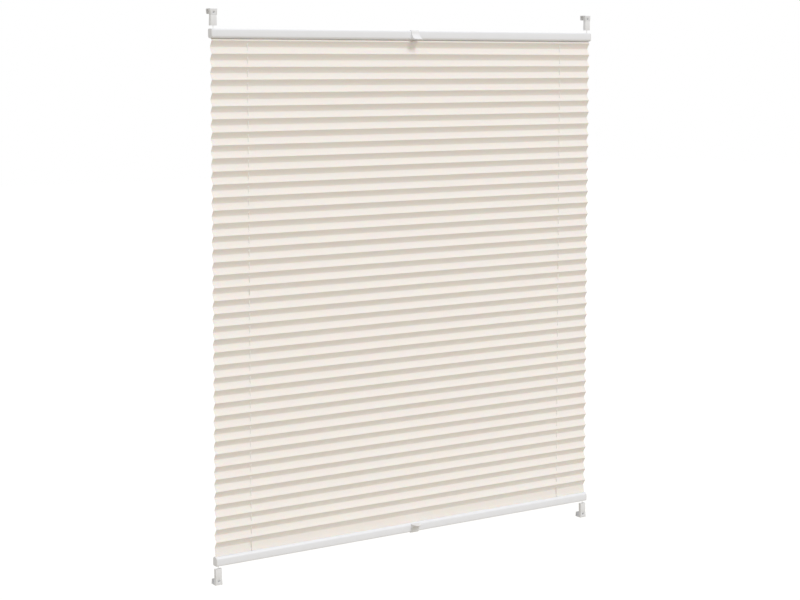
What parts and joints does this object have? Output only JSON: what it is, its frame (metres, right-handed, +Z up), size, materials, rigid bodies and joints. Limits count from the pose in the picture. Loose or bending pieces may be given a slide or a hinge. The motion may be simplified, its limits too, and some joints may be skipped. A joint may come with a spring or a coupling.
{
  "type": "pleated blind",
  "caption": "Pleated window blind: folded cloth stretched between sliding rails on tension cords, with clip-on handles and clamp-on brackets that hook over a window sash.",
  "frame": {"origin": "middle of the whole blind: halfway between the brackets, across, upright and from the handle lips to the clamp jaws", "axes": "+X to the right seen from the room, -Y towards the room, +Z up"},
  "size_m": [1.102, 0.046, 1.3186],
  "materials": {
    "pleated_cloth": "matt woven cream cloth",
    "rail_coat": "satin white powder coat on aluminium",
    "white_plastic": "satin white moulding",
    "clamp_plastic": "satin pale grey moulding",
    "steel": "zinc plated",
    "cord": "braided polyester"
  },
  "bodies": {
    "frame": {"top_left_bracket": "clamp_plastic", "top_left_shoe": "white_plastic", "top_left_spring": "steel", "top_right_bracket": "clamp_plastic", "top_right_shoe": "white_plastic", "top_right_spring": "steel", "bottom_left_bracket": "clamp_plastic", "bottom_left_shoe": "white_plastic", "bottom_left_spring": "steel", "bottom_right_bracket": "clamp_plastic", "bottom_right_shoe": "white_plastic", "bottom_right_spring": "steel", "left_cord": "cord", "right_cord": "cord", "pleated_fabric": "pleated_cloth"},
    "top_rail": {"top_rail": "rail_coat", "top_strip": "white_plastic", "top_handle": "white_plastic", "top_left_cap": "white_plastic", "top_left_guide": "white_plastic", "top_right_cap": "white_plastic", "top_right_guide": "white_plastic"},
    "bottom_rail": {"bottom_rail": "rail_coat", "bottom_strip": "white_plastic", "bottom_handle": "white_plastic", "bottom_left_cap": "white_plastic", "bottom_left_guide": "white_plastic", "bottom_right_cap": "white_plastic", "bottom_right_guide": "white_plastic"},
    "top_left_pad": {"top_left_pad": "white_plastic"},
    "top_left_screw": {"top_left_screw": "steel"},
    "top_left_anchor": {"top_left_anchor": "white_plastic"},
    "top_right_pad": {"top_right_pad": "white_plastic"},
    "top_right_screw": {"top_right_screw": "steel"},
    "top_right_anchor": {"top_right_anchor": "white_plastic"},
    "bottom_left_pad": {"bottom_left_pad": "white_plastic"},
    "bottom_left_screw": {"bottom_left_screw": "steel"},
    "bottom_left_anchor": {"bottom_left_anchor": "white_plastic"},
    "bottom_right_pad": {"bottom_right_pad": "white_plastic"},
    "bottom_right_screw": {"bottom_right_screw": "steel"},
    "bottom_right_anchor": {"bottom_right_anchor": "white_plastic"}
  },
  "joints": [
    {"name": "top_rail_slide", "type": "slide", "parent": "frame", "child": "top_rail", "axis": [0, 0, -1], "range_m": [0, 0.548], "deforming": ["pleated_fabric", "left_cord", "right_cord"]},
    {"name": "bottom_rail_slide", "type": "slide", "parent": "frame", "child": "bottom_rail", "axis": [0, 0, 1], "range_m": [0, 0.548], "deforming": ["pleated_fabric", "left_cord", "right_cord"]},
    {"name": "top_left_pad_slide", "type": "slide", "parent": "frame", "child": "top_left_pad", "axis": [0, 1, 0], "range_m": [0, 0.004]},
    {"name": "top_left_screw_turn", "type": "hinge", "parent": "top_left_pad", "child": "top_left_screw", "pos_m": [-0.542, 0, 0.6503], "axis": [0, 1, 0], "range_deg": [0, 1800]},
    {"name": "top_left_anchor_slide", "type": "slide", "parent": "frame", "child": "top_left_anchor", "axis": [0, 0, -1], "range_m": [0, 0.004], "stiffness_N_per_m": 1500, "deforming": ["top_left_spring"]},
    {"name": "top_right_pad_slide", "type": "slide", "parent": "frame", "child": "top_right_pad", "axis": [0, 1, 0], "range_m": [0, 0.004]},
    {"name": "top_right_screw_turn", "type": "hinge", "parent": "top_right_pad", "child": "top_right_screw", "pos_m": [0.542, 0, 0.6503], "axis": [0, 1, 0], "range_deg": [0, 1800]},
    {"name": "top_right_anchor_slide", "type": "slide", "parent": "frame", "child": "top_right_anchor", "axis": [0, 0, -1], "range_m": [0, 0.004], "stiffness_N_per_m": 1500, "deforming": ["top_right_spring"]},
    {"name": "bottom_left_pad_slide", "type": "slide", "parent": "frame", "child": "bottom_left_pad", "axis": [0, 1, 0], "range_m": [0, 0.004]},
    {"name": "bottom_left_screw_turn", "type": "hinge", "parent": "bottom_left_pad", "child": "bottom_left_screw", "pos_m": [-0.542, 0, -0.6503], "axis": [0, 1, 0], "range_deg": [0, 1800]},
    {"name": "bottom_left_anchor_slide", "type": "slide", "parent": "frame", "child": "bottom_left_anchor", "axis": [0, 0, 1], "range_m": [0, 0.004], "stiffness_N_per_m": 1500, "deforming": ["bottom_left_spring"]},
    {"name": "bottom_right_pad_slide", "type": "slide", "parent": "frame", "child": "bottom_right_pad", "axis": [0, 1, 0], "range_m": [0, 0.004]},
    {"name": "bottom_right_screw_turn", "type": "hinge", "parent": "bottom_right_pad", "child": "bottom_right_screw", "pos_m": [0.542, 0, -0.6503], "axis": [0, 1, 0], "range_deg": [0, 1800]},
    {"name": "bottom_right_anchor_slide", "type": "slide", "parent": "frame", "child": "bottom_right_anchor", "axis": [0, 0, 1], "range_m": [0, 0.004], "stiffness_N_per_m": 1500, "deforming": ["bottom_right_spring"]}
  ],
  "couplings": [
    {"joint": "top_left_screw_turn", "follows": "top_left_pad_slide", "rad_per_m": 7854},
    {"joint": "top_right_screw_turn", "follows": "top_right_pad_slide", "rad_per_m": 7854},
    {"joint": "bottom_left_screw_turn", "follows": "bottom_left_pad_slide", "rad_per_m": 7854},
    {"joint": "bottom_right_screw_turn", "follows": "bottom_right_pad_slide", "rad_per_m": 7854}
  ]
}
